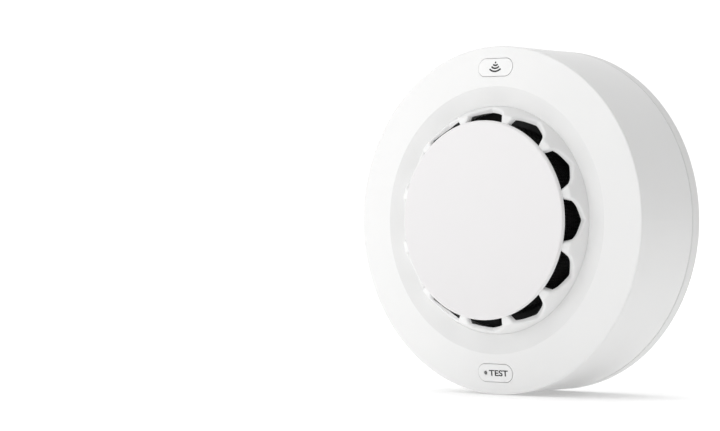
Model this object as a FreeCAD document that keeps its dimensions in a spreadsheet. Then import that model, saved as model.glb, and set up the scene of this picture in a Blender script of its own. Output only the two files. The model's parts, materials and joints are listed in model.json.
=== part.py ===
"""Wall or ceiling smoke detector: bayonet mounting base, round shell, vented front crown and working parts.

The wall is the plane y = 0 and the front looks along -Y, so a "depth" below is a distance out from the wall
and stands for -y. X is to the right of someone who faces the front, Z is up, and lengths are millimetres.
"""
import FreeCAD, Part
import math
import os
import Sketcher
from FreeCAD import Placement, Rotation, Vector

SIZES = {
    # outer form, front to back
    "rear_radius": 58.6,
    "face_radius": 59.0,
    "total_depth": 43.3,
    "base_depth": 4.0,
    "body_back": 4.3,
    "face_edge_depth": 34.5,
    "step_radius": 45.3,
    "step_rise": 1.9,
    "crown_hole_radius": 38.6,
    "bevel_drop": 1.0,
    "shell": 2.2,
    "face_round": 0.6,
    "step_round": 0.3,
    "seam_gap": 0.03,
    # vent crown
    "disc_radius": 33.6,
    "disc_thickness": 1.2,
    "disc_round": 0.7,
    "shoulder_radius": 36.2,
    "shoulder_depth": 41.2,
    "shoulder_step": 0.6,
    "eave_depth": 40.1,
    "eave_radius": 35.5,
    "foot_depth": 34.3,
    "wall_foot": 1.75,
    "rib_root": 32.7,
    "rib_count": 12.0,
    "roof_apex": 36.6,
    "roof_slope": 23.0,
    "roof_round": 1.5,
    "roof_straight": 4.0,
    "flank_radius": 5.75,
    "window_round": 1.0,
    "wall_overlap": 0.35,
    "window_overcut": 0.25,
    "window_start": 1.0,
    "window_reach": 8.0,
    "flange_radius": 41.5,
    "flange_thickness": 2.6,
    # mounting base
    "plate": 2.4,
    "rim_width": 3.0,
    "rim_round": 0.6,
    "window_half_width": 25.0,
    "window_half_height": 39.0,
    "slot_spacing": 68.0,
    "tall_slot_spacing": 100.0,
    "slot_length": 10.0,
    "slot_radius": 2.25,
    "hook_count": 4.0,
    "hook_angle": 14.0,
    "hook_radius": 44.0,
    "hook_leg": 2.0,
    "hook_reach": 5.0,
    "hook_width": 6.0,
    "hook_top": 8.2,
    "hook_lip": 1.5,
    "twist": 20.0,
    # rear cover and battery bay
    "cover_radius": 56.0,
    "cover_plate": 2.1,
    "cover_rim_height": 4.0,
    "cover_rim_width": 1.6,
    "bay_half_width": 11.6,
    "bay_half_height": 26.8,
    "bay_wall": 1.6,
    "bay_ceiling": 17.6,
    "bay_top": 19.0,
    "ledge_top": 9.2,
    "ledge_half_width": 17.0,
    "ledge_low": 31.5,
    "ledge_high": 35.0,
    "door_half_width": 13.2,
    "door_low": 28.6,
    "door_gap": 0.3,
    "door_thickness": 1.6,
    "hinge_height": 30.2,
    "hinge_depth": 6.0,
    "barrel_radius": 1.4,
    "pin_radius": 0.9,
    "pin_clearance": 0.06,
    "pin_length": 2.0,
    # fasteners
    "case_screw_circle": 50.5,
    "boss_radius": 3.2,
    "boss_bore": 1.3,
    "boss_start": 8.6,
    "screw_head_radius": 2.7,
    "screw_head_height": 1.7,
    "screw_shank_radius": 1.25,
    "screw_length": 15.0,
    # circuit board
    "board_radius": 55.5,
    "board_back": 20.0,
    "board_front": 21.6,
    "post_radius": 2.6,
    "small_head_radius": 2.1,
    "small_head_height": 1.2,
    "small_shank_radius": 0.95,
    "small_screw_length": 8.0,
    # smoke chamber
    "chamber_radius": 27.5,
    "chamber_floor": 23.2,
    "chamber_split": 29.3,
    "chamber_flange": 30.4,
    "chamber_flange_radius": 38.0,
    "chamber_top": 40.0,
    "chamber_wall": 1.6,
    "vane_count": 16.0,
    "vane_width": 1.0,
    "vane_length": 8.2,
    "vane_start": 19.5,
    "screen_radius": 32.4,
    "screen_thickness": 0.5,
    "lens_radius": 2.3,
    "lens_length": 8.6,
    # sounder
    "sounder_offset": 43.8,
    "sounder_radius": 11.8,
    "sounder_wall": 1.2,
    "sounder_top": 28.9,
    "sounder_hole": 3.0,
    "piezo_radius": 10.0,
    "piezo_thickness": 0.4,
    "piezo_depth": 24.4,
    # buttons
    "button_height": 51.7,
    "button_length": 14.3,
    "button_width": 6.0,
    "button_gap": 0.15,
    "pill_cut": 12.0,
    "button_flange": 1.3,
    "button_flange_low": 30.8,
    "button_flange_high": 31.9,
    "button_proud": 0.1,
    "stem_radius": 1.6,
    "stem_end": 26.65,
    "test_stem_offset": 1.4,
    "light_offset": 4.05,
    "light_radius": 0.9,
    "light_end": 23.4,
    "switch_width": 6.0,
    "switch_top": 25.1,
    "plunger_radius": 1.7,
    "plunger_clearance": 0.08,
    "plunger_low": 23.6,
    "plunger_high": 26.6,
    "plunger_well": 22.7,
    # power
    "cell_radius": 5.2,
    "cell_length": 43.4,
    "cell_nub_radius": 1.9,
    "cell_nub": 1.0,
    "cell_spacing": 11.2,
    "cell_depth": 12.1,
    "cell_shift": 1.4,
    "contact_thickness": 0.4,
    "spring_wire": 0.3,
    "spring_radius": 3.0,
    "spring_turns": 4.0,
    "lead_radius": 0.65,
}


class Size:
    """A number together with the sheet expression that gives it."""

    def __init__(self, value, text):
        self.value = value
        self.text = text

    def __add__(self, other):
        other = size(other)
        return Size(self.value + other.value, f"({self.text} + {other.text})")

    def __sub__(self, other):
        other = size(other)
        return Size(self.value - other.value, f"({self.text} - {other.text})")

    def __mul__(self, other):
        other = size(other)
        return Size(self.value * other.value, f"({self.text} * {other.text})")

    def __truediv__(self, other):
        other = size(other)
        return Size(self.value / other.value, f"({self.text} / {other.text})")

    def __rsub__(self, other):
        return size(other) - self

    def __neg__(self):
        return Size(-self.value, f"(0 - {self.text})")

    __radd__ = __add__
    __rmul__ = __mul__


def size(thing):
    """A plain number as a Size, and a Size as it is."""
    if isinstance(thing, Size):
        return thing
    return Size(float(thing), repr(float(thing)))


class Cells:
    """The driving dimensions by name."""

    def __getattr__(self, name):
        return Size(SIZES[name], "Dims." + name)


D = Cells()
doc = FreeCAD.newDocument("smoke_detector")
parts = []


def write_sheet():
    sheet = doc.addObject("Spreadsheet::Sheet", "Dims")
    for row, (name, value) in enumerate(SIZES.items(), 1):
        sheet.set(f"A{row}", name)
        sheet.set(f"B{row}", str(value))
        sheet.setAlias(f"B{row}", name)
    doc.recompute()


def bind(thing, path, amount):
    """Ties a property to the sheet."""
    thing.setExpression(path, size(amount).text)


# ---------------------------------------------------------------- sketches

def new_body(name):
    body = doc.addObject("PartDesign::Body", name)
    body.Label = name
    parts.append(body)
    return body


def origin_item(body, role):
    for item in body.Origin.OriginFeatures:
        if item.Role == role:
            return item
    raise ValueError(role)


def new_sketch(body, plane, lift, turn):
    """A sketch on an origin plane, moved along its normal by lift and turned about Y by turn degrees."""
    sketch = body.newObject("Sketcher::SketchObject", body.Name + "_sketch")
    sketch.AttachmentSupport = [(origin_item(body, plane), "")]
    sketch.MapMode = "FlatFace"
    lift = size(lift)
    rotation = Rotation(Vector(0, 1, 0), -turn)
    sketch.AttachmentOffset = Placement(Vector(0, 0, lift.value), rotation)
    bind(sketch, "AttachmentOffset.Base.z", lift)
    return sketch


def pin(sketch, geometry, point, x, y):
    """Holds one point of a sketch at a place that the sheet gives."""
    for kind, amount in (("DistanceX", size(x)), ("DistanceY", size(y))):
        row = sketch.addConstraint(Sketcher.Constraint(kind, -1, 1, geometry, point, amount.value))
        sketch.setExpression(f"Constraints[{row}]", amount.text)


def outline(body, plane, corners, lift=0, turn=0):
    """A closed outline of straight edges through the corners."""
    sketch = new_sketch(body, plane, lift, turn)
    places = [(size(x), size(y)) for x, y in corners]
    ends = [Vector(x.value, y.value, 0) for x, y in places]
    count = len(ends)
    for index in range(count):
        sketch.addGeometry(Part.LineSegment(ends[index], ends[(index + 1) % count]), False)
    for index in range(count):
        following = (index + 1) % count
        sketch.addConstraint(Sketcher.Constraint("Coincident", index, 2, following, 1))
    for index, (x, y) in enumerate(places):
        pin(sketch, index, 1, x, y)
    return sketch


def rectangle(body, plane, low_x, high_x, low_y, high_y, lift=0, turn=0):
    corners = [(low_x, low_y), (high_x, low_y), (high_x, high_y), (low_x, high_y)]
    return outline(body, plane, corners, lift, turn)


def circles(body, plane, rings, lift=0):
    """Whole circles, each given as its centre and radius."""
    sketch = new_sketch(body, plane, lift, 0)
    for x, y, radius in rings:
        centre = Vector(size(x).value, size(y).value, 0)
        ring = Part.Circle(centre, Vector(0, 0, 1), size(radius).value)
        index = sketch.addGeometry(ring, False)
        pin(sketch, index, 3, x, y)
        row = sketch.addConstraint(Sketcher.Constraint("Radius", index, size(radius).value))
        sketch.setExpression(f"Constraints[{row}]", size(radius).text)
    return sketch


def stadium(body, plane, x, y, length, width, lift=0, upright=False):
    """A round-ended slot outline, long along x, or along y when upright."""
    sketch = new_sketch(body, plane, lift, 0)
    radius = size(width) / 2
    reach = size(length) / 2 - radius
    steps = ((0, 1), (0, -1)) if upright else ((1, 0), (-1, 0))
    start = 0 if upright else -math.pi / 2
    for number, (across, along) in enumerate(steps):
        centre = (x + reach * across, y + reach * along)
        place = Vector(size(centre[0]).value, size(centre[1]).value, 0)
        ring = Part.Circle(place, Vector(0, 0, 1), radius.value)
        first = start + number * math.pi
        sketch.addGeometry(Part.ArcOfCircle(ring, first, first + math.pi), False)
        pin(sketch, number, 3, *centre)
    ends = [[sketch.getPoint(arc, point) for point in (1, 2)] for arc in (0, 1)]
    sketch.addGeometry(Part.LineSegment(ends[0][1], ends[1][0]), False)
    sketch.addGeometry(Part.LineSegment(ends[1][1], ends[0][0]), False)
    for first, second in (((0, 2), (2, 1)), ((2, 2), (1, 1)), ((1, 2), (3, 1)), ((3, 2), (0, 1))):
        sketch.addConstraint(Sketcher.Constraint("Tangent", *first, *second))
    row = sketch.addConstraint(Sketcher.Constraint("Radius", 0, radius.value))
    sketch.setExpression(f"Constraints[{row}]", radius.text)
    return sketch


# ---------------------------------------------------------------- features

def feature(body, kind, sketch):
    made = body.newObject("PartDesign::" + kind, body.Name + "_" + kind.lower())
    made.Profile = sketch
    sketch.Visibility = False
    return made


def add(body, sketch, length):
    """Material from the sketch along its normal."""
    made = feature(body, "Pad", sketch)
    bind(made, "Length", length)
    return made


def cut(body, sketch, length):
    """Takes material away from the sketch against its normal, and checks that some went."""
    doc.recompute()
    before = body.Shape.Volume
    made = feature(body, "Pocket", sketch)
    bind(made, "Length", length)
    doc.recompute()
    if body.Shape.Volume > before - 1e-3:
        raise ValueError(f"a pocket in {body.Label} cuts nothing")
    return made


def turned(body, kind, points, degrees=360, turn=0):
    """Revolves an outline of (radius, depth) points about the detector's own axis."""
    sketch = outline(body, "XY_Plane", [(radius, -size(depth)) for radius, depth in points], 0, turn)
    made = feature(body, kind, sketch)
    made.ReferenceAxis = (sketch, ["V_Axis"])
    bind(made, "Angle", degrees)
    return made


def repeat(body, originals, count):
    """The same features all round the detector's axis."""
    pattern = body.newObject("PartDesign::PolarPattern", body.Name + "_pattern")
    pattern.Originals = originals
    pattern.Axis = (origin_item(body, "Y_Axis"), [""])
    pattern.Angle = 360
    bind(pattern, "Occurrences", count)
    body.Tip = pattern
    doc.recompute()
    return pattern


def rounded(body, base, radius, chosen):
    """Fillets the edges that chosen() picks."""
    doc.recompute()
    names = [f"Edge{i}" for i, edge in enumerate(base.Shape.Edges, 1) if chosen(edge)]
    if not names:
        raise ValueError(f"no edge to round in {body.Label}")
    made = body.newObject("PartDesign::Fillet", body.Name + "_fillet")
    made.Base = (base, names)
    bind(made, "Radius", radius)
    return made


def on_circle(edge, radius, depth):
    """Whether an edge is a full circle about the detector's axis."""
    curve = edge.Curve
    if not isinstance(curve, Part.Circle):
        return False
    centred = abs(curve.Center.x) + abs(curve.Center.z) < 1e-3
    return centred and abs(curve.Radius - radius.value) < 1e-3 and abs(curve.Center.y + depth.value) < 1e-3


def around(radius, degrees):
    """The x and z of a point on a circle about the axis, as sheet expressions."""
    angle = size(degrees)
    turn = math.radians(angle.value)
    across = Size(math.cos(turn), f"cos({angle.text} * 1deg)")
    up = Size(math.sin(turn), f"sin({angle.text} * 1deg)")
    return radius * across, radius * up


# ---------------------------------------------------------------- primitives

def place(thing, x, depth, z, rotation=Rotation()):
    """Puts a primitive at x, z and a depth out from the wall."""
    x, depth, z = size(x), size(depth), size(z)
    thing.Placement = Placement(Vector(x.value, -depth.value, z.value), rotation)
    bind(thing, "Placement.Base.x", x)
    bind(thing, "Placement.Base.y", -depth)
    bind(thing, "Placement.Base.z", z)
    return thing


OUTWARD = Rotation(Vector(1, 0, 0), 90)


def cylinder(radius, length, x, depth, z, direction=OUTWARD):
    thing = doc.addObject("Part::Cylinder", "cylinder")
    bind(thing, "Radius", radius)
    bind(thing, "Height", length)
    return place(thing, x, depth, z, direction)


def block(width, thickness, height, x, depth, z):
    """A box centred on x and z that reaches from depth outwards by thickness."""
    thing = doc.addObject("Part::Box", "block")
    bind(thing, "Length", width)
    bind(thing, "Width", thickness)
    bind(thing, "Height", height)
    return place(thing, x - size(width) / 2, depth + size(thickness), z - size(height) / 2)


def joined(name, things, kind="Part::MultiFuse"):
    made = doc.addObject(kind, name)
    if kind == "Part::MultiFuse":
        made.Shapes = things
    else:
        made.Links = things
    made.Label = name
    return made


def without(name, base, tool):
    made = doc.addObject("Part::Cut", name)
    made.Base = base
    made.Tool = tool
    made.Label = name
    return made


def keep(thing, name):
    thing.Label = name
    parts.append(thing)
    return thing


# ---------------------------------------------------------------- shells

RING_DEPTH = D.face_edge_depth + D.step_rise - D.bevel_drop
STEP_DEPTH = D.face_edge_depth + D.step_rise
FACE_SLOPE = D.step_rise / (D.face_radius - D.step_radius)
CROWN_RADIUS = D.crown_hole_radius - D.seam_gap
DISC_BACK = D.total_depth - D.disc_thickness
WALL_TOP = DISC_BACK + D.wall_overlap
SCREW_ANGLES = (45, 135, 225, 315)
POST_ANGLES = (20, 155, 290)


def face_depth(radius):
    """Depth of the conical front ring at a radius."""
    return STEP_DEPTH - FACE_SLOPE * (radius - D.step_radius)


def pill_hole(body, x, y, gap, lift, length):
    """A button-shaped hole through the front ring."""
    hole = stadium(body, "XZ_Plane", x, y, D.button_length + gap * 2, D.button_width + gap * 2, lift)
    return cut(body, hole, length)


def front_housing():
    body = new_body("front_housing")
    inside = D.face_edge_depth - D.shell
    turned(body, "Revolution", [
        (D.rear_radius, D.body_back),
        (D.face_radius, D.face_edge_depth),
        (D.step_radius, STEP_DEPTH),
        (D.crown_hole_radius, RING_DEPTH),
        (D.crown_hole_radius, RING_DEPTH - D.shell),
        (D.step_radius, STEP_DEPTH - D.shell),
        (D.face_radius - D.shell, inside),
        (D.rear_radius - D.shell, D.body_back),
    ])
    bosses = [(*around(D.case_screw_circle, a), D.boss_radius) for a in SCREW_ANGLES]
    under = face_depth(D.case_screw_circle) - D.shell / 2
    add(body, circles(body, "XZ_Plane", bosses, D.boss_start), under - D.boss_start)
    posts = [(*around(D.case_screw_circle, a), D.post_radius) for a in POST_ANGLES]
    add(body, circles(body, "XZ_Plane", posts, D.board_front), under - D.board_front)
    bores = [(x, z, D.boss_bore) for x, z, radius in bosses]
    reach = D.screw_length + 1
    cut(body, circles(body, "XZ_Plane", bores, D.boss_start + reach), reach)
    small = [(x, z, D.small_shank_radius + 0.05) for x, z, radius in posts]
    cut(body, circles(body, "XZ_Plane", small, D.board_front + D.small_screw_length), D.small_screw_length)
    for side in (1, -1):
        last = pill_hole(body, 0, D.button_height * side, D.button_gap, D.total_depth, D.pill_cut)
    face = rounded(body, last, D.face_round, lambda e: on_circle(e, D.face_radius, D.face_edge_depth))
    rounded(body, face, D.step_round, lambda e: on_circle(e, D.step_radius, STEP_DEPTH))


def crown_wall(depth):
    """Outer radius of the crown's steep wall at a depth."""
    lean = (CROWN_RADIUS - D.shoulder_radius) / (D.shoulder_depth - RING_DEPTH)
    return CROWN_RADIUS - lean * (depth - RING_DEPTH)


def crown_window(body, lift):
    """Outline of a smoke window: a blunt roof apex, straight slopes and arcs up to an open top."""
    sketch = new_sketch(body, "XY_Plane", lift, 0)
    cosine, sine = around(size(1), D.roof_slope)
    bend_depth = D.roof_apex + D.roof_straight * sine / cosine
    top = WALL_TOP + D.window_overcut
    apex = (size(0), -(D.roof_apex + D.roof_round / cosine))
    flank_x = D.roof_straight - D.flank_radius * sine
    flank_y = -(bend_depth + D.flank_radius * cosine)
    slope = math.radians(D.roof_slope.value)
    rise = math.asin((flank_y.value + top.value) / D.flank_radius.value)
    arcs = [
        (apex, D.roof_round, math.pi / 2 - slope, math.pi / 2 + slope),
        ((-flank_x, flank_y), D.flank_radius, math.pi / 2 + slope, math.pi + rise),
        ((flank_x, flank_y), D.flank_radius, -rise, math.pi / 2 - slope),
    ]
    for number, (centre, radius, start, end) in enumerate(arcs):
        ring = Part.Circle(Vector(centre[0].value, centre[1].value, 0), Vector(0, 0, 1), radius.value)
        sketch.addGeometry(Part.ArcOfCircle(ring, start, end), False)
        pin(sketch, number, 3, *centre)
        row = sketch.addConstraint(Sketcher.Constraint("Radius", number, radius.value))
        sketch.setExpression(f"Constraints[{row}]", radius.text)
    joints = (((0, 2), (1, 1)), ((1, 2), (2, 1)), ((2, 2), (0, 1)))
    for first, second in joints:
        sketch.addGeometry(Part.LineSegment(sketch.getPoint(*first), sketch.getPoint(*second)), False)
    for line, (first, second) in enumerate(joints, 3):
        kind = "Coincident" if line == 4 else "Tangent"
        sketch.addConstraint(Sketcher.Constraint(kind, *first, line, 1))
        sketch.addConstraint(Sketcher.Constraint(kind, line, 2, *second))
    sketch.addConstraint(Sketcher.Constraint("Horizontal", 4))
    row = sketch.addConstraint(Sketcher.Constraint("DistanceY", -1, 1, 4, 1, -top.value))
    sketch.setExpression(f"Constraints[{row}]", (-top).text)
    return sketch


def vent_crown():
    body = new_body("vent_crown")
    flange_back = RING_DEPTH - D.shell - 0.1 - D.flange_thickness
    flange_front = flange_back + D.flange_thickness
    foot = CROWN_RADIUS - D.wall_foot
    turned(body, "Revolution", [
        (D.flange_radius, flange_back),
        (D.flange_radius, flange_front),
        (CROWN_RADIUS, flange_front),
        (CROWN_RADIUS, RING_DEPTH),
        (D.shoulder_radius, D.shoulder_depth),
        (D.disc_radius - D.shoulder_step, WALL_TOP),
        (D.rib_root, WALL_TOP),
        (D.rib_root, DISC_BACK - 1),
        (D.eave_radius, D.eave_depth),
        (foot, D.foot_depth),
        (foot, flange_back),
    ])
    window = cut(body, crown_window(body, CROWN_RADIUS + D.window_start), D.window_reach)
    windows = repeat(body, [window], D.rib_count)
    rounded(body, windows, D.window_round, lambda e: is_window_rim(e) or is_rib_shoulder(e))
    disc = turned(body, "Revolution", [
        (0, DISC_BACK), (D.disc_radius, DISC_BACK), (D.disc_radius, D.total_depth), (0, D.total_depth),
    ])
    rounded(body, disc, D.disc_round, lambda e: on_circle(e, D.disc_radius, D.total_depth))


def is_window_rim(edge):
    """Whether an edge runs round a smoke window on the outside of the crown's wall."""
    near = 0.5
    middle = edge.valueAt((edge.FirstParameter + edge.LastParameter) / 2)
    radius = math.hypot(middle.x, middle.z)
    depth = -middle.y
    level = isinstance(edge.Curve, Part.Circle) and abs(edge.Curve.Axis.y) > 0.999
    if level or depth < RING_DEPTH.value + near / 2 or depth > WALL_TOP.value - 0.01:
        return False
    if depth > D.shoulder_depth.value - near:
        return radius > D.rib_root.value + near
    return radius > crown_wall(size(depth)).value - near


def is_rib_shoulder(edge):
    """Whether an edge is the outer corner of a rib, where its wall turns in to the disc."""
    close = 0.01
    curve = edge.Curve
    if not isinstance(curve, Part.Circle) or abs(curve.Radius - D.shoulder_radius.value) > close:
        return False
    return abs(curve.Center.y + D.shoulder_depth.value) < close


def mounting_base():
    body = new_body("mounting_base")
    rim = D.rear_radius - D.rim_width
    turned(body, "Revolution", [
        (0, 0), (D.rear_radius, 0), (D.rear_radius, D.base_depth),
        (rim, D.base_depth), (rim, D.plate), (0, D.plate),
    ])
    doc.recompute()
    wide, tall = D.window_half_width, D.window_half_height
    cut(body, rectangle(body, "XZ_Plane", -wide, wide, -tall, tall, D.plate), D.plate)
    for side in (1, -1):
        middle = D.slot_spacing / 2 * side
        slot = stadium(body, "XZ_Plane", middle, size(0), D.slot_length, D.slot_radius * 2, D.plate)
        cut(body, slot, D.plate)
        middle = D.tall_slot_spacing / 2 * side
        slot = stadium(body, "XZ_Plane", size(0), middle, D.slot_length, D.slot_radius * 2, D.plate, True)
        last = cut(body, slot, D.plate)
    corners = rounded(body, last, 5, lambda e: is_window_corner(e))
    half = D.hook_width / 2
    root = D.plate - 0.5
    leg = [
        (D.hook_radius, -root), (D.hook_radius, -D.hook_top),
        (D.hook_radius + D.hook_reach, -D.hook_top),
        (D.hook_radius + D.hook_reach, -(D.hook_top - D.hook_lip)),
        (D.hook_radius + D.hook_leg, -(D.hook_top - D.hook_lip)),
        (D.hook_radius + D.hook_leg, -root),
    ]
    pad = add(body, outline(body, "XY_Plane", leg, 0, D.hook_angle.value), half * 2)
    pad.Midplane = True
    hooks = repeat(body, [pad], D.hook_count)
    rounded(body, hooks, D.rim_round, lambda e: on_circle(e, D.rear_radius, D.base_depth))


def is_window_corner(edge):
    """Whether an edge is an upright corner of the base's window."""
    middle = edge.CenterOfMass
    flat = abs(abs(middle.x) - D.window_half_width.value) < 1e-3
    return flat and abs(abs(middle.z) - D.window_half_height.value) < 1e-3


def rear_cover():
    body = new_body("rear_cover")
    back = D.body_back + 0.1
    front = back + D.cover_plate
    rim_in = D.cover_radius - D.cover_rim_width
    turned(body, "Revolution", [
        (0, back), (D.cover_radius, back), (D.cover_radius - 0.2, front + D.cover_rim_height),
        (rim_in, front + D.cover_rim_height), (rim_in, front), (0, front),
    ])
    wide = D.ledge_half_width
    add(body, rectangle(body, "XZ_Plane", -wide, wide, -D.ledge_low, D.ledge_high, back), D.ledge_top - back)
    side = D.bay_half_width + D.bay_wall
    end = D.bay_half_height + D.bay_wall
    add(body, rectangle(body, "XZ_Plane", -side, side, -end, end, back), D.bay_top - back)
    seats = [(*around(D.case_screw_circle, a), D.boss_radius + 1) for a in SCREW_ANGLES]
    add(body, circles(body, "XZ_Plane", seats, back), D.boss_start - 0.2 - back)
    door = D.door_half_width + D.door_gap
    top = D.hinge_height + D.barrel_radius + 0.6
    cut(body, rectangle(body, "XZ_Plane", -door, door, -(D.door_low + D.door_gap), top, front), front)
    inner = D.bay_half_width
    tall = D.bay_half_height
    cut(body, rectangle(body, "XZ_Plane", -inner, inner, -tall, tall, D.bay_ceiling), D.bay_ceiling)
    low = D.bay_half_height + D.bay_wall
    barrel_room = D.hinge_depth + D.barrel_radius + 0.4
    cut(body, rectangle(body, "XZ_Plane", -door, door, low, top, barrel_room), barrel_room)
    heads = [(x, z, D.screw_head_radius + 0.2) for x, z, radius in seats]
    seat = back + 2.2
    cut(body, circles(body, "XZ_Plane", heads, seat), seat)
    shanks = [(x, z, D.screw_shank_radius + 0.35) for x, z, radius in seats]
    cut(body, circles(body, "XZ_Plane", shanks, D.ledge_top), D.ledge_top)
    lug_holes(body, D.bay_top, D.bay_top - D.bay_ceiling + 0.5)
    ears(body, door)
    slots(body, back, front)


def ears(body, door):
    """Blind bores for the door's hinge pins, one each side of the doorway."""
    bore = D.pin_radius + D.pin_clearance
    ring = circles(body, "YZ_Plane", [(-D.hinge_depth, D.hinge_height, bore)], door + D.pin_length + 0.2)
    cut(body, ring, (door + D.pin_length + 0.2) * 2)


def slots(body, back, front):
    """Bayonet slots: narrow where the hook's leg slides, wide where its lip drops in."""
    spare = 0.8
    play = 0.4
    inner = D.hook_radius - play
    narrow = D.hook_radius + D.hook_leg + play
    wide = D.hook_radius + D.hook_reach + play
    half = math.degrees((D.hook_width.value / 2 + spare) / D.hook_radius.value)
    hook = D.hook_angle.value
    low, high = back - 0.5, front + 0.5
    long_slot = turned(body, "Groove", [(inner, low), (narrow, low), (narrow, high), (inner, high)],
                       D.twist + 2 * half, hook + half)
    drop_in = turned(body, "Groove", [(inner, low), (wide, low), (wide, high), (inner, high)],
                     2 * half, hook + half - D.twist.value)
    repeat(body, [long_slot, drop_in], D.hook_count)


def battery_door():
    body = new_body("battery_door")
    wide = D.door_half_width
    back = D.body_back + 0.2
    top = D.hinge_height
    add(body, rectangle(body, "XZ_Plane", -wide, wide, -D.door_low, top, back), D.door_thickness)
    barrel = circles(body, "YZ_Plane", [(-D.hinge_depth, D.hinge_height, D.barrel_radius)], -wide)
    add(body, barrel, wide * 2)
    reach = wide + D.pin_length
    pins = circles(body, "YZ_Plane", [(-D.hinge_depth, D.hinge_height, D.pin_radius)], -reach)
    add(body, pins, reach * 2)
    add(body, rectangle(body, "XZ_Plane", -9, 9, -25.6, -24.2, back + D.door_thickness - 0.2), 1.4)
    grip = stadium(body, "XZ_Plane", size(0), size(-23), 12, 3, back + 0.7)
    cut(body, grip, 0.7)
    body.Tip = body.Group[-1]


# ---------------------------------------------------------------- fasteners

def screw(x, z, seat, head_radius, head_height, shank_radius, length):
    """A pan-head screw put in from the back, with a cross recess."""
    head = cylinder(head_radius, head_height, x, seat - head_height, z)
    shank = cylinder(shank_radius, length, x, seat, z)
    arms = [block(head_radius * across, 0.8, head_radius * up, x, seat - head_height, z)
            for across, up in ((1.3, 0.3), (0.3, 1.3))]
    solid = joined("screw_body", [head, shank])
    return without("screw", solid, joined("screw_recess", arms))


def screws():
    seat = D.body_back + 2.3
    case = []
    for angle in SCREW_ANGLES:
        x, z = around(D.case_screw_circle, angle)
        case.append(screw(x, z, seat, D.screw_head_radius, D.screw_head_height,
                          D.screw_shank_radius, D.screw_length))
    keep(joined("case_screws", case, "Part::Compound"), "case_screws")
    small = []
    for angle in POST_ANGLES:
        x, z = around(D.case_screw_circle, angle)
        small.append(screw(x, z, D.board_back, D.small_head_radius, D.small_head_height,
                           D.small_shank_radius, D.small_screw_length))
    keep(joined("pcb_screws", small, "Part::Compound"), "pcb_screws")


# ---------------------------------------------------------------- electronics

def main_pcb():
    body = new_body("main_pcb")
    disc = circles(body, "XZ_Plane", [(0, 0, D.board_radius)], D.board_back)
    thickness = D.board_front - D.board_back
    add(body, disc, thickness)
    holes = [(*around(D.case_screw_circle, a), D.boss_radius + 0.4) for a in SCREW_ANGLES]
    cut(body, circles(body, "XZ_Plane", holes, D.board_front), thickness)
    small = [(*around(D.case_screw_circle, a), D.small_shank_radius + 0.1) for a in POST_ANGLES]
    cut(body, circles(body, "XZ_Plane", small, D.board_front), thickness)
    lug_holes(body, D.board_front, thickness)


def wifi():
    """Radio module: a small board with a shielding can on it and its aerial end bare."""
    keep(block(18, 0.8, 25.5, 41.2, D.board_front, 0), "wifi_board")
    keep(block(15.8, 2.4, 17.6, 41.2, D.board_front + 0.8, -2.4), "wifi_shield")


def chips():
    places = (
        # width, height, thickness, x, z
        (9, 9, 1.2, -22, -40),
        (5, 6, 1.5, -12, -46),
        (5, 4, 1.4, -23, 42),
        (3, 3, 1.1, -14, 47),
        (6, 5, 1.6, 24, -41),
        (4, 2.5, 1.0, 10, -44),
        (6, 3, 2.2, -27, 34),
    )
    blocks = [block(w, t, h, x, D.board_front, z) for w, h, t, x, z in places]
    keep(joined("pcb_chips", blocks, "Part::Compound"), "pcb_chips")


def capacitors():
    cans = []
    for x, z in ((17, 41), (25.5, 36.5)):
        base = block(6.6, 0.9, 6.6, x, D.board_front, z)
        can = cylinder(3.15, 6.8, x, D.board_front + 0.9, z)
        cans.append(joined("capacitor", [base, can]))
    keep(joined("capacitors", cans, "Part::Compound"), "capacitors")


LENS_ANGLES = (200, 335)
LENS_CIRCLE = 16.0


def smoke_chamber():
    cup = new_body("chamber_base")
    inner = D.chamber_radius - D.chamber_wall
    turned(cup, "Revolution", [
        (0, D.board_front), (D.chamber_radius, D.board_front), (D.chamber_radius, D.chamber_split),
        (inner, D.chamber_split), (inner, D.chamber_floor), (0, D.chamber_floor),
    ])
    lens_depth = D.chamber_floor + D.lens_radius + 0.8
    for angle in LENS_ANGLES:
        x, z = around(size(LENS_CIRCLE), angle)
        add(cup, rectangle(cup, "XZ_Plane", x - 4, x + 4, z - 4, z + 4, D.chamber_floor - 0.3), 0.7)
    cover = new_body("chamber_cover")
    flange_back = D.chamber_split
    turned(cover, "Revolution", [
        (D.vane_start - 0.5, flange_back), (D.chamber_flange_radius, flange_back),
        (D.chamber_flange_radius, D.chamber_flange), (D.vane_start - 0.5, D.chamber_flange),
    ])
    vane = outline(cover, "XZ_Plane", [
        (D.vane_start, 0), (D.vane_start + D.vane_length, -3.2),
        (D.vane_start + D.vane_length, -3.2 + D.vane_width), (D.vane_start, D.vane_width),
    ], D.chamber_flange - 0.3)
    vanes = repeat(cover, [add(cover, vane, D.chamber_top - D.chamber_wall - D.chamber_flange + 0.6)],
                   D.vane_count)
    lid = turned(cover, "Revolution", [
        (0, D.chamber_top - D.chamber_wall), (D.chamber_radius + 0.8, D.chamber_top - D.chamber_wall),
        (D.chamber_radius + 0.8, D.chamber_top - 0.6), (D.chamber_radius, D.chamber_top),
        (0, D.chamber_top),
    ])
    cover.Tip = lid
    screen = new_body("insect_screen")
    turned(screen, "Revolution", [
        (D.screen_radius - D.screen_thickness, D.chamber_flange), (D.screen_radius, D.chamber_flange),
        (D.screen_radius, DISC_BACK - 0.05), (D.screen_radius - D.screen_thickness, DISC_BACK - 0.05),
    ])
    for name, angle in zip(("ir_emitter", "photodiode"), LENS_ANGLES):
        optic(name, angle, lens_depth)


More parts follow.
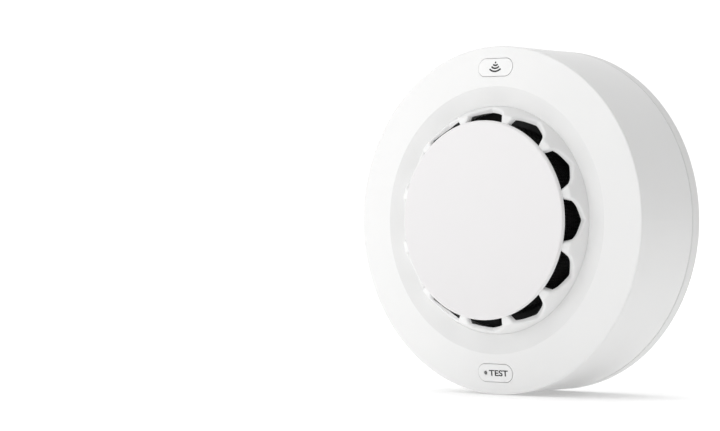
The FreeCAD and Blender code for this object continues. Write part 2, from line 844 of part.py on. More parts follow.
def optic(name, angle, depth):
    """A through-hole infrared part lying down, its domed end towards the chamber's middle."""
    body = new_body(name)
    flat = D.lens_length - D.lens_radius
    profile = outline(body, "XY_Plane", [
        (0, 0), (D.lens_radius + 0.35, 0), (D.lens_radius + 0.35, 1), (D.lens_radius, 1),
        (D.lens_radius, flat), (D.lens_radius * 0.7, flat + D.lens_radius * 0.7), (0, D.lens_length),
    ])
    made = feature(body, "Revolution", profile)
    made.ReferenceAxis = (profile, ["V_Axis"])
    x, z = around(size(LENS_CIRCLE) + D.lens_length / 2, angle)
    heading = Vector(-x.value, 0, -z.value)
    place(body, x, depth, z, Rotation(Vector(0, 1, 0), heading))


def sounder():
    x = -D.sounder_offset
    outer = cylinder(D.sounder_radius, D.sounder_top - 0.9 - D.board_front, x, D.board_front, 0)
    hollow = cylinder(D.sounder_radius - D.sounder_wall, 10, x, D.piezo_depth, 0)
    well = cylinder(D.piezo_radius - 1.2, 10, x, D.board_front + 1, 0)
    keep(without("sounder_housing", outer, joined("sounder_hollow", [hollow, well])), "sounder_housing")
    keep(cylinder(D.piezo_radius, D.piezo_thickness, x, D.piezo_depth, 0), "piezo_disc")
    lid = cylinder(D.sounder_radius, 0.9, x, D.sounder_top - 0.9, 0)
    hole = cylinder(D.sounder_hole, 3, x, D.sounder_top - 2, 0)
    keep(without("sounder_cap", lid, hole), "sounder_cap")


# ---------------------------------------------------------------- buttons and switches

def button(name, side, stem_x, light):
    """A pill-shaped button with its flange, its stem and, on one of them, a hole for the light guide."""
    body = new_body(name)
    z = D.button_height * side
    flange = D.button_flange
    low, high = D.button_flange_low, D.button_flange_high
    plate = stadium(body, "XZ_Plane", size(0), z, D.button_length + flange * 2,
                    D.button_width + flange * 2, low)
    add(body, plate, high - low)
    cap = stadium(body, "XZ_Plane", size(0), z, D.button_length, D.button_width, low)
    add(body, cap, D.total_depth - low)
    proud = D.button_proud
    turned(body, "Groove", [
        (D.step_radius, STEP_DEPTH + proud), (D.face_radius, D.face_edge_depth + proud),
        (D.face_radius, D.total_depth + 1), (D.step_radius, D.total_depth + 1),
    ])
    add(body, circles(body, "XZ_Plane", [(stem_x, z, D.stem_radius)], D.stem_end), low - D.stem_end + 0.3)
    if light:
        hole = [(-D.light_offset, z, D.light_radius + 0.05)]
        cut(body, circles(body, "XZ_Plane", hole, D.total_depth), 20)
    doc.recompute()
    body.Tip = body.Group[-1]


def light_guide():
    """A clear rod that rides in the test button, from its face down to the status light."""
    body = new_body("led_light_guide")
    z = -D.button_height
    add(body, circles(body, "XZ_Plane", [(-D.light_offset, z, D.light_radius)], D.light_end),
        D.total_depth - D.light_end)
    turned(body, "Groove", [
        (D.step_radius, STEP_DEPTH + D.button_proud), (D.face_radius, D.face_edge_depth + D.button_proud),
        (D.face_radius, D.total_depth + 1), (D.step_radius, D.total_depth + 1),
    ])


def switch(name, side, x):
    """A push switch on the board, and its plunger in its own well."""
    z = D.button_height * side
    case = block(D.switch_width, D.switch_top - D.board_front, D.switch_width, x, D.board_front, z)
    well = cylinder(D.plunger_radius + D.plunger_clearance, 5, x, D.plunger_well, z)
    keep(without(name, case, well), name)
    length = D.plunger_high - D.plunger_low
    keep(cylinder(D.plunger_radius, length, x, D.plunger_low, z), name + "_plunger")


def buttons():
    button("test_button", -1, D.test_stem_offset, True)
    button("pairing_button", 1, size(0), False)
    light_guide()
    switch("test_switch", -1, D.test_stem_offset)
    switch("pairing_switch", 1, size(0))
    keep(block(1.6, 0.8, 1.0, -D.light_offset, D.board_front, -D.button_height), "status_led")


# ---------------------------------------------------------------- power

def lug_holes(body, lift, length):
    """The two openings that the battery contacts' lugs come up through."""
    side = D.cell_spacing / 2
    for way in (1, -1):
        middle = side * way
        hole = rectangle(body, "XZ_Plane", middle - 1.2, middle + 1.2,
                         -(D.bay_half_height + 0.1), -(D.bay_half_height - 0.9), lift)
        cut(body, hole, length)


def cell(name, x, facing):
    """A size AAA cell on its own axis, nub up, then set into the bay."""
    body = new_body(name)
    half = D.cell_length / 2
    profile = outline(body, "XZ_Plane", [
        (0, -half), (D.cell_radius - 0.4, -half), (D.cell_radius, -half + 0.4),
        (D.cell_radius, half - 0.4), (D.cell_radius - 0.4, half),
        (D.cell_nub_radius, half), (D.cell_nub_radius, half + D.cell_nub), (0, half + D.cell_nub),
    ])
    made = feature(body, "Revolution", profile)
    made.ReferenceAxis = (profile, ["V_Axis"])
    turn = Rotation() if facing > 0 else Rotation(Vector(0, 1, 0), 180)
    place(body, x, D.cell_depth, D.cell_shift * facing, turn)


PLATE_HEIGHT = 9.4
PLATE_DEPTH = D.cell_depth - PLATE_HEIGHT / 2


def power():
    side = D.cell_spacing / 2
    cell("battery_a", -side, 1)
    cell("battery_b", side, -1)
    end = D.bay_half_height - D.contact_thickness / 2
    bridge = block(20.8, PLATE_HEIGHT, D.contact_thickness, 0, PLATE_DEPTH, end)
    plates = [bridge] + [terminal(side * way, -end) for way in (1, -1)]
    keep(joined("battery_plates", plates, "Part::Compound"), "battery_plates")
    springs = [coil(-side, -1), coil(side, 1)]
    keep(joined("battery_springs", springs, "Part::Compound"), "battery_springs")


def terminal(x, z):
    """An end plate with a lug that runs up through the bay's ceiling into the board."""
    plate = block(9.6, PLATE_HEIGHT, D.contact_thickness, x, PLATE_DEPTH, z)
    root = PLATE_DEPTH + PLATE_HEIGHT - 0.5
    lug = block(1.6, D.board_front - 0.1 - root, D.contact_thickness, x, root, z)
    return joined("terminal", [plate, lug])


def coil(x, way):
    """A conical contact spring between an end plate and the flat end of a cell."""
    helix = doc.addObject("Part::Helix", "spring_line")
    room = D.bay_half_height - D.contact_thickness - D.cell_length / 2 + D.cell_shift
    length = room - D.spring_wire * 2 - 0.1
    bind(helix, "Pitch", length / D.spring_turns)
    bind(helix, "Height", length)
    bind(helix, "Radius", D.spring_radius)
    wire = doc.addObject("Part::Circle", "spring_wire")
    bind(wire, "Radius", D.spring_wire)
    wire.Placement = Placement(Vector(D.spring_radius.value, 0, 0), Rotation(Vector(1, 0, 0), 90))
    sweep = doc.addObject("Part::Sweep", "spring")
    sweep.Sections = [wire]
    sweep.Spine = (helix, ["Edge1"])
    sweep.Solid = True
    sweep.Frenet = True
    start = D.bay_half_height - D.contact_thickness - D.spring_wire - 0.05
    turn = Rotation() if way < 0 else Rotation(Vector(1, 0, 0), 180)
    return place(sweep, x, D.cell_depth, start * way, turn)


# ---------------------------------------------------------------- leads

def lead(name, route, radius):
    """An insulated wire along straight runs joined by tangent arcs."""
    points = [Vector(x, -depth, z) for x, depth, z in route]
    edges = []
    start = points[0]
    for before, corner, after in zip(points, points[1:], points[2:]):
        back = (before - corner).normalize()
        ahead = (after - corner).normalize()
        half_turn = (math.pi - back.getAngle(ahead)) / 2
        run = 0.45 * min((before - corner).Length, (after - corner).Length)
        middle = (back + ahead).normalize()
        bend = run / math.tan(half_turn)
        height = bend / math.cos(half_turn) - bend
        first = corner + back * run
        last = corner + ahead * run
        edges.append(Part.LineSegment(start, first).toShape())
        edges.append(Part.Arc(first, corner + middle * height, last).toShape())
        start = last
    edges.append(Part.LineSegment(start, points[-1]).toShape())
    path = Part.Wire(edges)
    ring = Part.Circle(points[0], points[1] - points[0], radius.value)
    section = Part.Wire([ring.toShape()])
    made = doc.addObject("Part::Feature", name)
    made.Shape = path.makePipeShell([section], True, True)
    keep(made, name)
    expected = math.pi * radius.value ** 2 * path.Length
    if abs(made.Shape.Volume / expected - 1) > 0.02:
        raise ValueError(f"{name} is not a clean tube")


def leads():
    """Two wires from the side of the sounder round to solder pads on the board."""
    wire = D.lead_radius
    low = D.board_front.value + wire.value + 0.1
    high = low + 2.4
    for name, way in (("sounder_wire_red", 1), ("sounder_wire_black", -1)):
        lead(name, [
            (-40.5, high, 11.4 * way), (-39.6, high, 14.5 * way), (-37.5, high - 1.0, 18.6 * way),
            (-33.5, low, 21.6 * way), (-29.5, low, 25.0 * way),
        ], wire)


def check_and_write():
    doc.recompute()
    for item in doc.Objects:
        if "Invalid" in item.State or "Error" in item.State:
            raise ValueError(f"{item.Name} failed: {item.State}")
    for item in parts:
        if item.Shape.isNull() or not item.Shape.isValid():
            raise ValueError(f"{item.Label} has no valid shape")
        if not item.Shape.Solids:
            raise ValueError(f"{item.Label} has no solid")
    os.makedirs("parts", exist_ok=True)
    for item in parts:
        item.Shape.exportStep(f"parts/{item.Label}.step")
        print(f"{item.Label:26s} {len(item.Shape.Solids)} solid(s) {item.Shape.Volume:10.1f} mm3")


write_sheet()
mounting_base()
front_housing()
vent_crown()
rear_cover()
battery_door()
screws()
main_pcb()
wifi()
chips()
capacitors()
smoke_chamber()
sounder()
buttons()
power()
leads()
check_and_write()
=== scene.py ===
"""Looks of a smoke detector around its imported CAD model, in metres. Its front looks along -Y."""
import json
import math
import bpy
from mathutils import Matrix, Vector
from mathutils.bvhtree import BVHTree


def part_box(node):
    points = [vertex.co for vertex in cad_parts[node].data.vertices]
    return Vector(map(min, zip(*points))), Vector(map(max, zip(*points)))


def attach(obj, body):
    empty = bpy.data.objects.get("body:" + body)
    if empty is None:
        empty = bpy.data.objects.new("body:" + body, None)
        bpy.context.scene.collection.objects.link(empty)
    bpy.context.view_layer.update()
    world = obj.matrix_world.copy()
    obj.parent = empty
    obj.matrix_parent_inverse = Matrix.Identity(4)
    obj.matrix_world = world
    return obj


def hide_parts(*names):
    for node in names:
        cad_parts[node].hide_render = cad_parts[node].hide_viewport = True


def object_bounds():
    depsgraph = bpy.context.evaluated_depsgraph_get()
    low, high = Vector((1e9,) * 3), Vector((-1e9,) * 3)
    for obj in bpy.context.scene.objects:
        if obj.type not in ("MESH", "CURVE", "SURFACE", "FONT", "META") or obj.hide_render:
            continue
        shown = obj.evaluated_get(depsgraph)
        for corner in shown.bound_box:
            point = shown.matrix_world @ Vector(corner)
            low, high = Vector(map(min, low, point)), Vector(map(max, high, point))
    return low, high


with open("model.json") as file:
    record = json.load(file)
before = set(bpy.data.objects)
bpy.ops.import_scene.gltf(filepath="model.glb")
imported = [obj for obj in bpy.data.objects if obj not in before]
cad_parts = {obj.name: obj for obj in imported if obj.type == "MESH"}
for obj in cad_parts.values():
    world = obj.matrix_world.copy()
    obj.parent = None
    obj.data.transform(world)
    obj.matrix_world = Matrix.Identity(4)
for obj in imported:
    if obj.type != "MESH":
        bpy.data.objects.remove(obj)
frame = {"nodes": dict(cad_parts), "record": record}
cad_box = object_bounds()
NODES = frame["nodes"]
MM = 0.001

# ------------------------------------------------------------------ camera, floor and light

FACE_EDGE = 34.5 * MM
STEP_RADIUS = 45.25 * MM
LOWEST = cad_box[0][2]
FRONT = cad_box[0][1]
FLOOR_GAP = 0.0001
WHITE = (1.0, 1.0, 1.0, 1.0)

AZIMUTH = math.radians(36.97)
DISTANCE = 0.978
SENSOR_WIDTH = 36.0 * MM
FOCAL_LENGTH = 144.3 * MM
RIGHT_OF_MIDDLE = 6.86 * MM
BELOW_MIDDLE = 0.235 * MM

GLOW_SHIFT = (0.06, 0.03, 0.0)
GLOW_REACH = (0.08, 0.7)
GLOW_STRENGTH = (0.14, 0.42)


def show(thing):
    bpy.context.collection.objects.link(thing)
    return thing


def aim(thing, place, target):
    thing.location = place
    thing.rotation_mode = "QUATERNION"
    thing.rotation_quaternion = (Vector(target) - Vector(place)).to_track_quat("-Z", "Y")


def add_node(tree, kind, result, values=(), **properties):
    """A shader node whose inputs are numbers or other nodes' outputs; gives its named output."""
    made = tree.nodes.new("ShaderNode" + kind)
    for name, value in properties.items():
        setattr(made, name, value)
    for socket, value in dict(values).items():
        if isinstance(value, bpy.types.NodeSocket):
            tree.links.new(value, made.inputs[socket])
        else:
            made.inputs[socket].default_value = value
    return made.outputs[result]


def add_remap(tree, value, low, high, start, end, **properties):
    """Value carried from the range low..high to the range start..end."""
    values = {"Value": value, "From Min": low, "From Max": high, "To Min": start, "To Max": end}
    return add_node(tree, "MapRange", "Result", values, **properties)


def make_camera():
    """A long lens at eye level, turned so that the detector's image falls right of the middle."""
    back = Vector((math.sin(AZIMUTH), -math.cos(AZIMUTH), 0.0))
    right = Vector((math.cos(AZIMUTH), math.sin(AZIMUTH), 0.0))
    centre = Vector((0.0, -FACE_EDGE, 0.0))
    target = centre - right * (DISTANCE * RIGHT_OF_MIDDLE / FOCAL_LENGTH)
    target.z += DISTANCE * BELOW_MIDDLE / FOCAL_LENGTH
    data = bpy.data.cameras.new("camera")
    data.sensor_width = SENSOR_WIDTH / MM
    data.lens = FOCAL_LENGTH / MM
    data.clip_start = 0.01
    data.clip_end = 20.0
    camera = show(bpy.data.objects.new("camera", data))
    aim(camera, centre + back * DISTANCE, target)
    bpy.context.scene.camera = camera


def area_light(name, place, size, watts):
    data = bpy.data.lights.new(name, "AREA")
    data.shape = "RECTANGLE"
    data.size, data.size_y = size
    data.energy = watts
    light = show(bpy.data.objects.new(name, data))
    aim(light, place, (0.0, -0.02, 0.0))
    return light


def light_linked(light, side, thing, state):
    """Limits a light's receivers or blockers to one object (INCLUDE) or to all but it (EXCLUDE)."""
    chosen = bpy.data.collections.new(light.name + "_" + side)
    chosen.objects.link(thing)
    chosen.collection_objects[0].light_linking.link_state = state
    setattr(light.light_linking, side + "_collection", chosen)


def make_world():
    """Light that falls off to the right and to the front; the camera itself sees plain white."""
    world = bpy.data.worlds.new("studio")
    world.use_nodes = True
    tree = world.node_tree
    around = add_node(tree, "TexCoord", "Generated")
    falls = []
    for axis, start, end, first, last in (("X", -0.3, 1.0, 1.1, 0.4), ("Y", -0.5, 0.3, 0.79, 1.0)):
        along = add_node(tree, "SeparateXYZ", axis, {0: around})
        falls.append(add_remap(tree, along, start, end, first, last, interpolation_type="SMOOTHSTEP"))
    both = add_node(tree, "Math", "Value", {0: falls[0], 1: falls[1]}, operation="MULTIPLY")
    seen = add_node(tree, "LightPath", "Is Camera Ray")
    strength = add_node(tree, "Math", "Value", {0: both, 1: seen}, operation="MAXIMUM")
    tree.links.new(strength, tree.nodes["Background"].inputs["Strength"])
    tree.nodes["Background"].inputs["Color"].default_value = WHITE
    bpy.context.scene.world = world


def floor_pale():
    """Matt white that glows, more so further from a spot beside the detector's left."""
    pale = bpy.data.materials.new("floor_pale")
    pale.use_nodes = True
    tree = pale.node_tree
    shader = tree.nodes["Principled BSDF"]
    shader.inputs["Base Color"].default_value = (0.86, 0.86, 0.86, 1.0)
    shader.inputs["Roughness"].default_value = 0.8
    shader.inputs["Specular IOR Level"].default_value = 0.1
    shader.inputs["Emission Color"].default_value = WHITE
    place = add_node(tree, "TexCoord", "Object")
    shifted = add_node(tree, "VectorMath", "Vector", {0: place, 1: GLOW_SHIFT}, operation="ADD")
    away = add_node(tree, "VectorMath", "Value", {0: shifted}, operation="LENGTH")
    glow = add_remap(tree, away, *GLOW_REACH, *GLOW_STRENGTH)
    tree.links.new(glow, shader.inputs["Emission Strength"])
    return pale


def make_floor():
    reach = 6.0
    low = LOWEST - FLOOR_GAP
    corners = [(reach * x, reach * y, low) for x, y in ((-1, -1), (1, -1), (1, 1), (-1, 1))]
    mesh = bpy.data.meshes.new("floor")
    mesh.from_pydata(corners, [], [(0, 1, 2, 3)])
    mesh.materials.append(floor_pale())
    floor = show(bpy.data.objects.new("floor", mesh))
    return floor


def make_studio():
    """A soft light from above, and three that treat the floor apart.

    The key light leaves the floor out, the wash reaches nothing else, and the last shines up through it.
    """
    make_world()
    floor = make_floor()
    bpy.context.scene.view_settings.view_transform = "Standard"
    area_light("top", (-0.2, -0.2, 1.2), (1.6, 1.6), 3.0)
    key = area_light("key", (-0.2, -0.31, 0.11), (0.24, 0.24), 0.29)
    light_linked(key, "receiver", floor, "EXCLUDE")
    wash = area_light("floor_wash", (-0.1, -0.1, 0.6), (1.2, 1.2), 2.6)
    light_linked(wash, "receiver", floor, "INCLUDE")
    under = area_light("under_table", (-0.12, 0.02, -0.4), (0.3, 0.3), 0.27)
    light_linked(under, "blocker", floor, "EXCLUDE")


# ------------------------------------------------------------------ materials

class Look:
    """One procedural material, with short names for the nodes that it is made from."""

    def __init__(self, name, colour, roughness, **settings):
        self.material = bpy.data.materials.new(name)
        self.material.use_nodes = True
        self.tree = self.material.node_tree
        self.shader = self.tree.nodes["Principled BSDF"]
        self.colour = (*colour, 1.0)
        self.shader.inputs["Base Color"].default_value = self.colour
        self.shader.inputs["Roughness"].default_value = roughness
        for socket, value in settings.items():
            self.shader.inputs[socket.replace("_", " ")].default_value = value
        self.place = self.tree.nodes.new("ShaderNodeTexCoord").outputs["Object"]

    def node(self, kind, result, values=(), **properties):
        return add_node(self.tree, kind, result, values, **properties)

    def noise(self, size, detail=2.0, place=None):
        """Cloudy noise with features of about the given size in metres."""
        values = {"Vector": place or self.place, "Scale": 1.0 / size, "Detail": detail}
        return self.node("TexNoise", "Fac", values)

    def cells(self, size):
        """Distance to the nearest of scattered points."""
        return self.node("TexVoronoi", "Distance", {"Vector": self.place, "Scale": 1.0 / size})

    def maths(self, operation, first, second=0.0):
        return self.node("Math", "Value", {0: first, 1: second}, operation=operation)

    def remap(self, value, low, high, start, end):
        return add_remap(self.tree, value, low, high, start, end)

    def blend(self, factor, first, second):
        """Colour that goes from first to second as the factor goes from 0 to 1."""
        return self.node("Mix", 2, {0: factor, 6: first, 7: second}, data_type="RGBA")

    def axis(self, name):
        return self.node("SeparateXYZ", name, {0: self.place})

    def radius(self, centre):
        """Distance from an axis along Y through the centre."""
        across = self.maths("SUBTRACT", self.axis("X"), centre.x)
        up = self.maths("SUBTRACT", self.axis("Z"), centre.z)
        squares = [self.maths("MULTIPLY", side, side) for side in (across, up)]
        return self.maths("SQRT", self.maths("ADD", *squares))

    def drive(self, socket, value):
        self.tree.links.new(value, self.shader.inputs[socket])

    def drive_roughness(self, pattern, smoothest, roughest):
        """Roughness that follows a noise pattern, whose values lie mostly between 0.3 and 0.7."""
        self.drive("Roughness", self.remap(pattern, 0.3, 0.7, smoothest, roughest))

    def bump(self, height, depth):
        values = {"Height": height, "Distance": depth, "Strength": 1.0}
        self.drive("Normal", self.node("Bump", "Normal", values))


def shade(colour, factor):
    return tuple(min(1.0, part * factor) for part in colour[:3]) + (1.0,)


def toned(look):
    """The look's colour with slow changes of tone."""
    slow = look.noise(26 * MM, 3.0)
    return look.blend(slow, shade(look.colour, 0.985), shade(look.colour, 1.012))


def spark_texture(look, roughness, grain=0.22 * MM, depth=0.006 * MM):
    """The fine texture that spark erosion leaves on a mould, in gloss and in relief."""
    fine = look.noise(grain, 3.0)
    look.drive_roughness(fine, roughness - 0.05, roughness + 0.06)
    look.bump(fine, depth)


def moulded(name, colour, roughness, *texture, **settings):
    """Injection-moulded plastic; texture may give the grain and the depth of its relief."""
    look = Look(name, colour, roughness, **settings)
    look.drive("Base Color", toned(look))
    spark_texture(look, roughness, *texture)
    return look.material


def shell_plastic(name, **settings):
    """The housing's plastic; the sunken ring round the crown is painted darker than the rest, as painted
    shade of its recess.
    """
    roughness = 0.42
    blur = 0.02 * MM
    look = Look(name, (0.78, 0.78, 0.776), roughness, **settings)
    # painted shade: the sunken ring inside the step is darkened to stand in for the shade in its recess
    recess_painted_shade = shade(look.colour, 0.935)
    recess_shade_mask = look.remap(look.radius(Vector()), STEP_RADIUS - blur, STEP_RADIUS + blur, 1.0, 0.0)
    look.drive("Base Color", look.blend(recess_shade_mask, toned(look), recess_painted_shade))
    spark_texture(look, roughness)
    return look.material


def crown_plastic(name, **settings):
    """The crown's plastic: its ribs match the shell; its front disc is painted a little darker, as
    painted shade, and is a little warmer in tint.
    """
    roughness = 0.44
    look = Look(name, (0.78, 0.78, 0.777), roughness, **settings)
    # painted shade: the front disc is darkened to stand in for less light falling on it; its warm tint
    # is the plastic's own
    front = look.remap(look.axis("Y"), FRONT + 0.5 * MM, FRONT + 0.2 * MM, 0.0, 1.0)
    look.drive("Base Color", look.blend(front, look.colour, (0.73, 0.719, 0.722, 1.0)))
    spark_texture(look, roughness)
    return look.material


def worked_metal(name, colour, roughness, grain=0.4 * MM):
    """Plated or turned metal with fine scratches and a little tarnish."""
    look = Look(name, colour, roughness, Metallic=1.0)
    stretched = look.node("Mapping", "Vector", {"Vector": look.place, "Scale": (1.0, 6.0, 1.0)})
    scratches = look.noise(grain, 6.0, stretched)
    tarnish = look.noise(3.0 * MM, 4.0)
    look.drive("Base Color", look.blend(tarnish, shade(look.colour, 0.82), look.colour))
    look.drive_roughness(scratches, roughness - 0.08, roughness + 0.12)
    look.bump(scratches, 0.004 * MM)
    return look.material


def clear_resin(name, colour, transmission):
    look = Look(name, colour, 0.12, IOR=1.53, Transmission_Weight=transmission)
    look.bump(look.noise(1.2 * MM, 2.0), 0.003 * MM)
    look.drive_roughness(look.noise(0.5 * MM), 0.08, 0.2)
    return look.material


def solder_mask(name):
    """Circuit board: copper tracks showing through green lacquer, and tinned vias."""
    look = Look(name, (0.012, 0.11, 0.045), 0.34, Coat_Weight=0.4)
    turned = {"Vector": look.place, "Rotation": (math.pi / 2, 0.0, math.radians(45))}
    bricks = {"Vector": look.node("Mapping", "Vector", turned), "Scale": 150.0, "Mortar Size": 0.035,
              "Mortar Smooth": 0.1, "Brick Width": 0.9, "Row Height": 0.28}
    track = look.node("TexBrick", "Fac", bricks)
    via = look.remap(look.cells(4.2 * MM), 0.1, 0.13, 1.0, 0.0)
    board = look.blend(track, (0.010, 0.085, 0.035, 1.0), (0.03, 0.21, 0.085, 1.0))
    look.drive("Base Color", look.blend(via, board, (0.75, 0.7, 0.55, 1.0)))
    look.drive("Metallic", via)
    look.drive_roughness(look.noise(0.8 * MM), 0.28, 0.42)
    look.bump(look.maths("ADD", track, via), 0.03 * MM)
    return look.material


def cell_sleeve(name, half):
    """A battery's printed sleeve: dark middle, warm band towards each end, bare steel at both ends."""
    band_start = 12.0 * MM
    bare_start = half - 1.2 * MM
    look = Look(name, (0.03, 0.032, 0.036), 0.3, Coat_Weight=0.5)
    along = look.maths("ABSOLUTE", look.axis("Z"))
    band = look.remap(along, band_start, band_start + 0.2 * MM, 0.0, 1.0)
    bare = look.remap(along, bare_start, bare_start + 0.1 * MM, 0.0, 1.0)
    inked = look.blend(band, look.colour, (0.55, 0.24, 0.07, 1.0))
    look.drive("Base Color", look.blend(bare, inked, (0.66, 0.65, 0.62, 1.0)))
    look.drive("Metallic", bare)
    look.drive_roughness(look.noise(1.0 * MM, 3.0), 0.24, 0.36)
    return look.material


def light_window(name, centre):
    """Smoked acrylic over the status light: a white collar, a dark ring and a paler middle."""
    look = Look(name, (0.02, 0.02, 0.022), 0.16, Coat_Weight=0.6)
    away = look.radius(centre)
    pale = look.remap(away, 0.15 * MM, 0.5 * MM, 1.0, 0.0)
    collar = look.remap(away, 0.62 * MM, 0.66 * MM, 0.0, 1.0)
    lens = look.blend(pale, look.colour, (0.12, 0.12, 0.12, 1.0))
    look.drive("Base Color", look.blend(collar, lens, (0.75, 0.75, 0.75, 1.0)))
    look.drive_roughness(look.noise(0.3 * MM), 0.12, 0.22)
    return look.material


def epoxy(name):
    """Chip bodies: matt black resin, flecked with filler."""
    look = Look(name, (0.018, 0.018, 0.02), 0.55)
    flecks = look.noise(0.12 * MM, 4.0)
    filler = look.remap(flecks, 0.55, 0.75, 0.0, 1.0)
    look.drive("Base Color", look.blend(filler, look.colour, (0.07, 0.07, 0.075, 1.0)))
    look.bump(flecks, 0.006 * MM)
    return look.material


def middle_of(node):
    low, high = (Vector(corner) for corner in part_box(node))
    return (low + high) / 2


def make_looks():
    """Every material slot of the record by name."""
    white = dict(Subsurface_Weight=0.06, Subsurface_Radius=(1.0, 0.9, 0.8), Subsurface_Scale=1.5 * MM)
    low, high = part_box("battery_a")
    half_cell = (high[2] - low[2]) / 2
    return {
        "shell_white": shell_plastic("shell_plastic", **white),
        "crown_white": crown_plastic("crown_plastic", **white),
        "button_white": moulded("button_plastic", (0.79, 0.79, 0.786), 0.4, **white),
        "base_white": moulded("base_plastic", (0.74, 0.74, 0.735), 0.5, 0.35 * MM, 0.012 * MM),
        "cover_white": moulded("cover_plastic", (0.74, 0.74, 0.735), 0.5, 0.35 * MM, 0.012 * MM),
        "plunger_white": moulded("plunger_nylon", (0.78, 0.77, 0.73), 0.5),
        "chamber_black": moulded("chamber_plastic", (0.006, 0.006, 0.007), 0.6, 0.5 * MM, 0.02 * MM),
        "sounder_black": moulded("sounder_plastic", (0.014, 0.014, 0.015), 0.5, 0.4 * MM, 0.015 * MM),
        "switch_black": moulded("switch_plastic", (0.016, 0.016, 0.017), 0.42),
        "wire_red": moulded("wire_red_pvc", (0.5, 0.018, 0.014), 0.38, 0.6 * MM),
        "wire_black": moulded("wire_black_pvc", (0.014, 0.014, 0.015), 0.38, 0.6 * MM),
        "screen_black": moulded("screen_wire", (0.004, 0.004, 0.004), 0.5, 0.2 * MM),
        "screw_steel": worked_metal("screw_zinc", (0.62, 0.62, 0.61), 0.34),
        "shield_can": worked_metal("shield_tin", (0.7, 0.7, 0.69), 0.3, 1.2 * MM),
        "capacitor_can": worked_metal("capacitor_aluminium", (0.74, 0.74, 0.75), 0.28),
        "contact_nickel": worked_metal("contact_nickel", (0.68, 0.65, 0.59), 0.27, 0.6 * MM),
        "piezo_brass": worked_metal("piezo_brass", (0.75, 0.52, 0.22), 0.32),
        "lens_clear": clear_resin("lens_clear_resin", (0.93, 0.95, 0.97), 0.85),
        "lens_dark": clear_resin("lens_dark_resin", (0.05, 0.02, 0.06), 0.35),
        "led_clear": clear_resin("led_resin", (0.85, 0.95, 0.85), 0.6),
        "light_window": light_window("window_acrylic", middle_of("led_light_guide")),
        "module_black": solder_mask("module_board"),
        "board_green": solder_mask("board_solder_mask"),
        "chip_black": epoxy("chip_resin"),
        "cell_wrap": cell_sleeve("cell_sleeve", half_cell),
    }


def dress_frame(looks):
    """Gives every CAD node the material of its slot."""
    for part in frame["record"]["subparts"]:
        mesh = NODES[part["node"]].data
        mesh.materials.clear()
        mesh.materials.append(looks[part["material_slot"]])


# ------------------------------------------------------------------ marks on the buttons

def front_surface(node):
    """Gives the y of a node's front at any x and z."""
    mesh = NODES[node].data
    corners = [vertex.co.copy() for vertex in mesh.vertices]
    tree = BVHTree.FromPolygons(corners, [tuple(face.vertices) for face in mesh.polygons])
    start = FRONT - 0.01
    inwards = Vector((0.0, 1.0, 0.0))

    def height(x, z):
        spot = tree.ray_cast(Vector((x, start, z)), inwards)[0]
        return spot.y
    return height


def printed(name, outlines, node, body, ink):
    """Thin raised ink on a node's front; outlines are (points, faces) with points (x, z)."""
    height = front_surface(node)
    raised, sunk = 0.03 * MM, 0.02 * MM
    points = []
    faces = []
    for flat, polygons in outlines:
        first = len(points)
        count = len(flat)
        points += [(x, height(x, z) - raised, z) for x, z in flat]
        points += [(x, height(x, z) + sunk, z) for x, z in flat]
        for polygon in polygons:
            faces.append([first + index for index in polygon])
            faces.append([first + count + index for index in reversed(polygon)])
        for a, b in border(polygons):
            faces.append([first + b, first + a, first + count + a, first + count + b])
    mesh = bpy.data.meshes.new(name)
    mesh.from_pydata(points, [], faces)
    mesh.update()
    mesh.materials.append(ink)
    piece = show(bpy.data.objects.new(name, mesh))
    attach(piece, body)
    return piece


def border(polygons):
    """Edges that only one polygon uses, in its order."""
    used = set()
    for polygon in polygons:
        used |= {(a, b) for a, b in zip(polygon, polygon[1:] + polygon[:1])}
    return [(a, b) for a, b in used if (b, a) not in used]


def circle(centre, radius, angles):
    return [(centre[0] + radius * math.cos(a), centre[1] + radius * math.sin(a)) for a in angles]


def ring_piece(centre, radius, angles, stroke):
    """A strip along an arc, square at its ends."""
    inner = circle(centre, radius - stroke / 2, angles)
    outer = circle(centre, radius + stroke / 2, angles)
    count = len(angles)
    strips = [[i, i + count, i + count + 1, i + 1] for i in range(count - 1)]
    return inner + outer, strips


def disc_piece(centre, radius, count=24):
    angles = [2 * math.pi * step / count for step in range(count)]
    return circle(centre, radius, angles), [list(range(count))]


def arc_piece(x, z, width, sagitta, stroke, steps=20):
    """A strip along an arc of the given width and rise, whose lowest point is at x, z."""
    radius = (width * width / 4 + sagitta * sagitta) / (2 * sagitta)
    half = math.asin(width / 2 / radius)
    angles = [-math.pi / 2 - half + 2 * half * step / steps for step in range(steps + 1)]
    return ring_piece((x, z + radius), radius, angles, stroke)


def wireless_mark(ink):
    """A dot over three widening arcs, all open upwards."""
    z = middle_of("pairing_button").z
    stroke = 0.56 * MM
    outlines = [disc_piece((0.0, z + 1.66 * MM), 0.33 * MM)]
    for lowest, width, sagitta in ((0.66, 1.8, 0.4), (-0.33, 3.1, 0.62), (-1.36, 4.65, 0.85)):
        outlines.append(arc_piece(0.0, z + lowest * MM, width * MM, sagitta * MM, stroke))
    return printed("wireless_mark", outlines, "pairing_button", "pairing_button", ink)


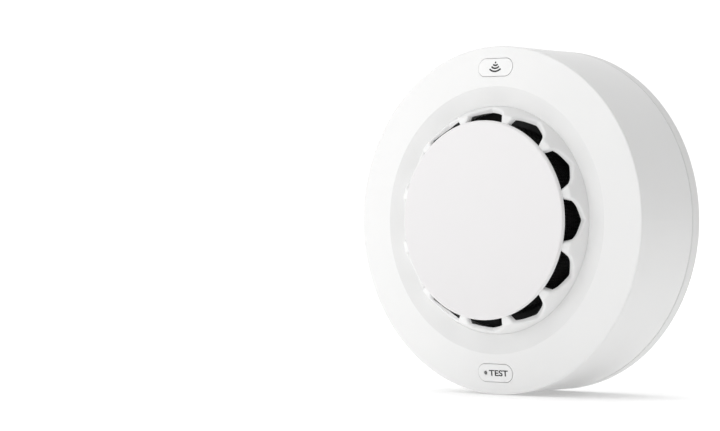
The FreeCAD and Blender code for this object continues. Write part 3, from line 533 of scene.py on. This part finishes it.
def test_mark(ink):
    """The word TEST in a plain face, stretched to its width and height, beside the light."""
    left, right = -2.6 * MM, 5.3 * MM
    tall = 2.06 * MM
    data = bpy.data.curves.new("test_letters", "FONT")
    data.body = "TEST"
    data.size = 1.0
    data.offset = 0.022
    flat = bpy.data.objects.new("test_letters", data)
    letters = bpy.data.meshes.new_from_object(flat)
    bpy.data.objects.remove(flat)
    xs = [vertex.co.x for vertex in letters.vertices]
    ys = [vertex.co.y for vertex in letters.vertices]
    bottom = middle_of("test_button").z - tall / 2
    wide_scale = (right - left) / (max(xs) - min(xs))
    tall_scale = tall / (max(ys) - min(ys))
    points = [(left + (x - min(xs)) * wide_scale, bottom + (y - min(ys)) * tall_scale)
              for x, y in zip(xs, ys)]
    faces = [list(face.vertices) for face in letters.polygons]
    return printed("test_mark", [(points, faces)], "test_button", "test_button", ink)


# ------------------------------------------------------------------ insect screen

def screen_wires():
    """Paths of the wire cloth: open uprights woven over and under closed, level hoops."""
    low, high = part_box("insect_screen")
    radius = high[0] - 0.25 * MM
    near, far = low[1] + 0.3 * MM, high[1] - 0.3 * MM
    uprights, hoops = 170, 10
    sway = 0.07 * MM
    angles = [2 * math.pi * wire / uprights for wire in range(uprights)]

    def spot(angle, depth, away):
        return Vector((away * math.cos(angle), depth, away * math.sin(angle)))

    wires = []
    for wire, angle in enumerate(angles):
        path = []
        for step in range(2 * hoops + 1):
            along = step / (2 * hoops)
            offset = sway * math.sin(math.pi * (along * hoops + wire))
            path.append(spot(angle, near + (far - near) * along, radius + offset))
        wires.append((path, False))
    for hoop in range(hoops):
        depth = near + (far - near) * (hoop + 0.5) / hoops
        path = []
        for step, angle in enumerate(angles):
            path.append(spot(angle, depth, radius - sway * (-1) ** (step + hoop)))
        wires.append((path, True))
    return wires


def woven_screen(look):
    """Wire cloth round the smoke chamber, in the place of the CAD's plain tube."""
    thick = 0.09 * MM
    points = []
    faces = []
    for path, closed in screen_wires():
        add_wire(points, faces, path, thick, closed)
    mesh = bpy.data.meshes.new("woven_screen")
    mesh.from_pydata(points, [], faces)
    mesh.polygons.foreach_set("use_smooth", [True] * len(faces))
    mesh.update()
    mesh.materials.append(look)
    piece = show(bpy.data.objects.new("woven_screen", mesh))
    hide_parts("insect_screen")
    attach(piece, "detector")


def add_wire(points, faces, path, thick, closed):
    """A square wire of half width thick along a path round the Y axis."""
    first = len(points)
    count = len(path)
    for index, spot in enumerate(path):
        after = path[(index + 1) % count] if closed or index + 1 < count else spot
        before = path[index - 1] if closed or index else spot
        along = (after - before).normalized()
        outward = Vector((spot.x, 0.0, spot.z)).normalized()
        side = along.cross(outward)
        points += [tuple(spot + outward * thick), tuple(spot + side * thick),
                   tuple(spot - outward * thick), tuple(spot - side * thick)]
    steps = count if closed else count - 1
    for index in range(steps):
        here = first + 4 * index
        there = first + 4 * ((index + 1) % count)
        faces += [(here + k, here + (k + 1) % 4, there + (k + 1) % 4, there + k) for k in range(4)]
    if not closed:
        faces += [(first, first + 3, first + 2, first + 1),
                  tuple(first + 4 * (count - 1) + k for k in range(4))]


# ------------------------------------------------------------------ the object

make_camera()
make_studio()
LOOKS = make_looks()
dress_frame(LOOKS)
INK = moulded("mark_ink", (0.006, 0.006, 0.0065), 0.5)
wireless_mark(INK)
test_mark(INK)
woven_screen(LOOKS["screen_black"])
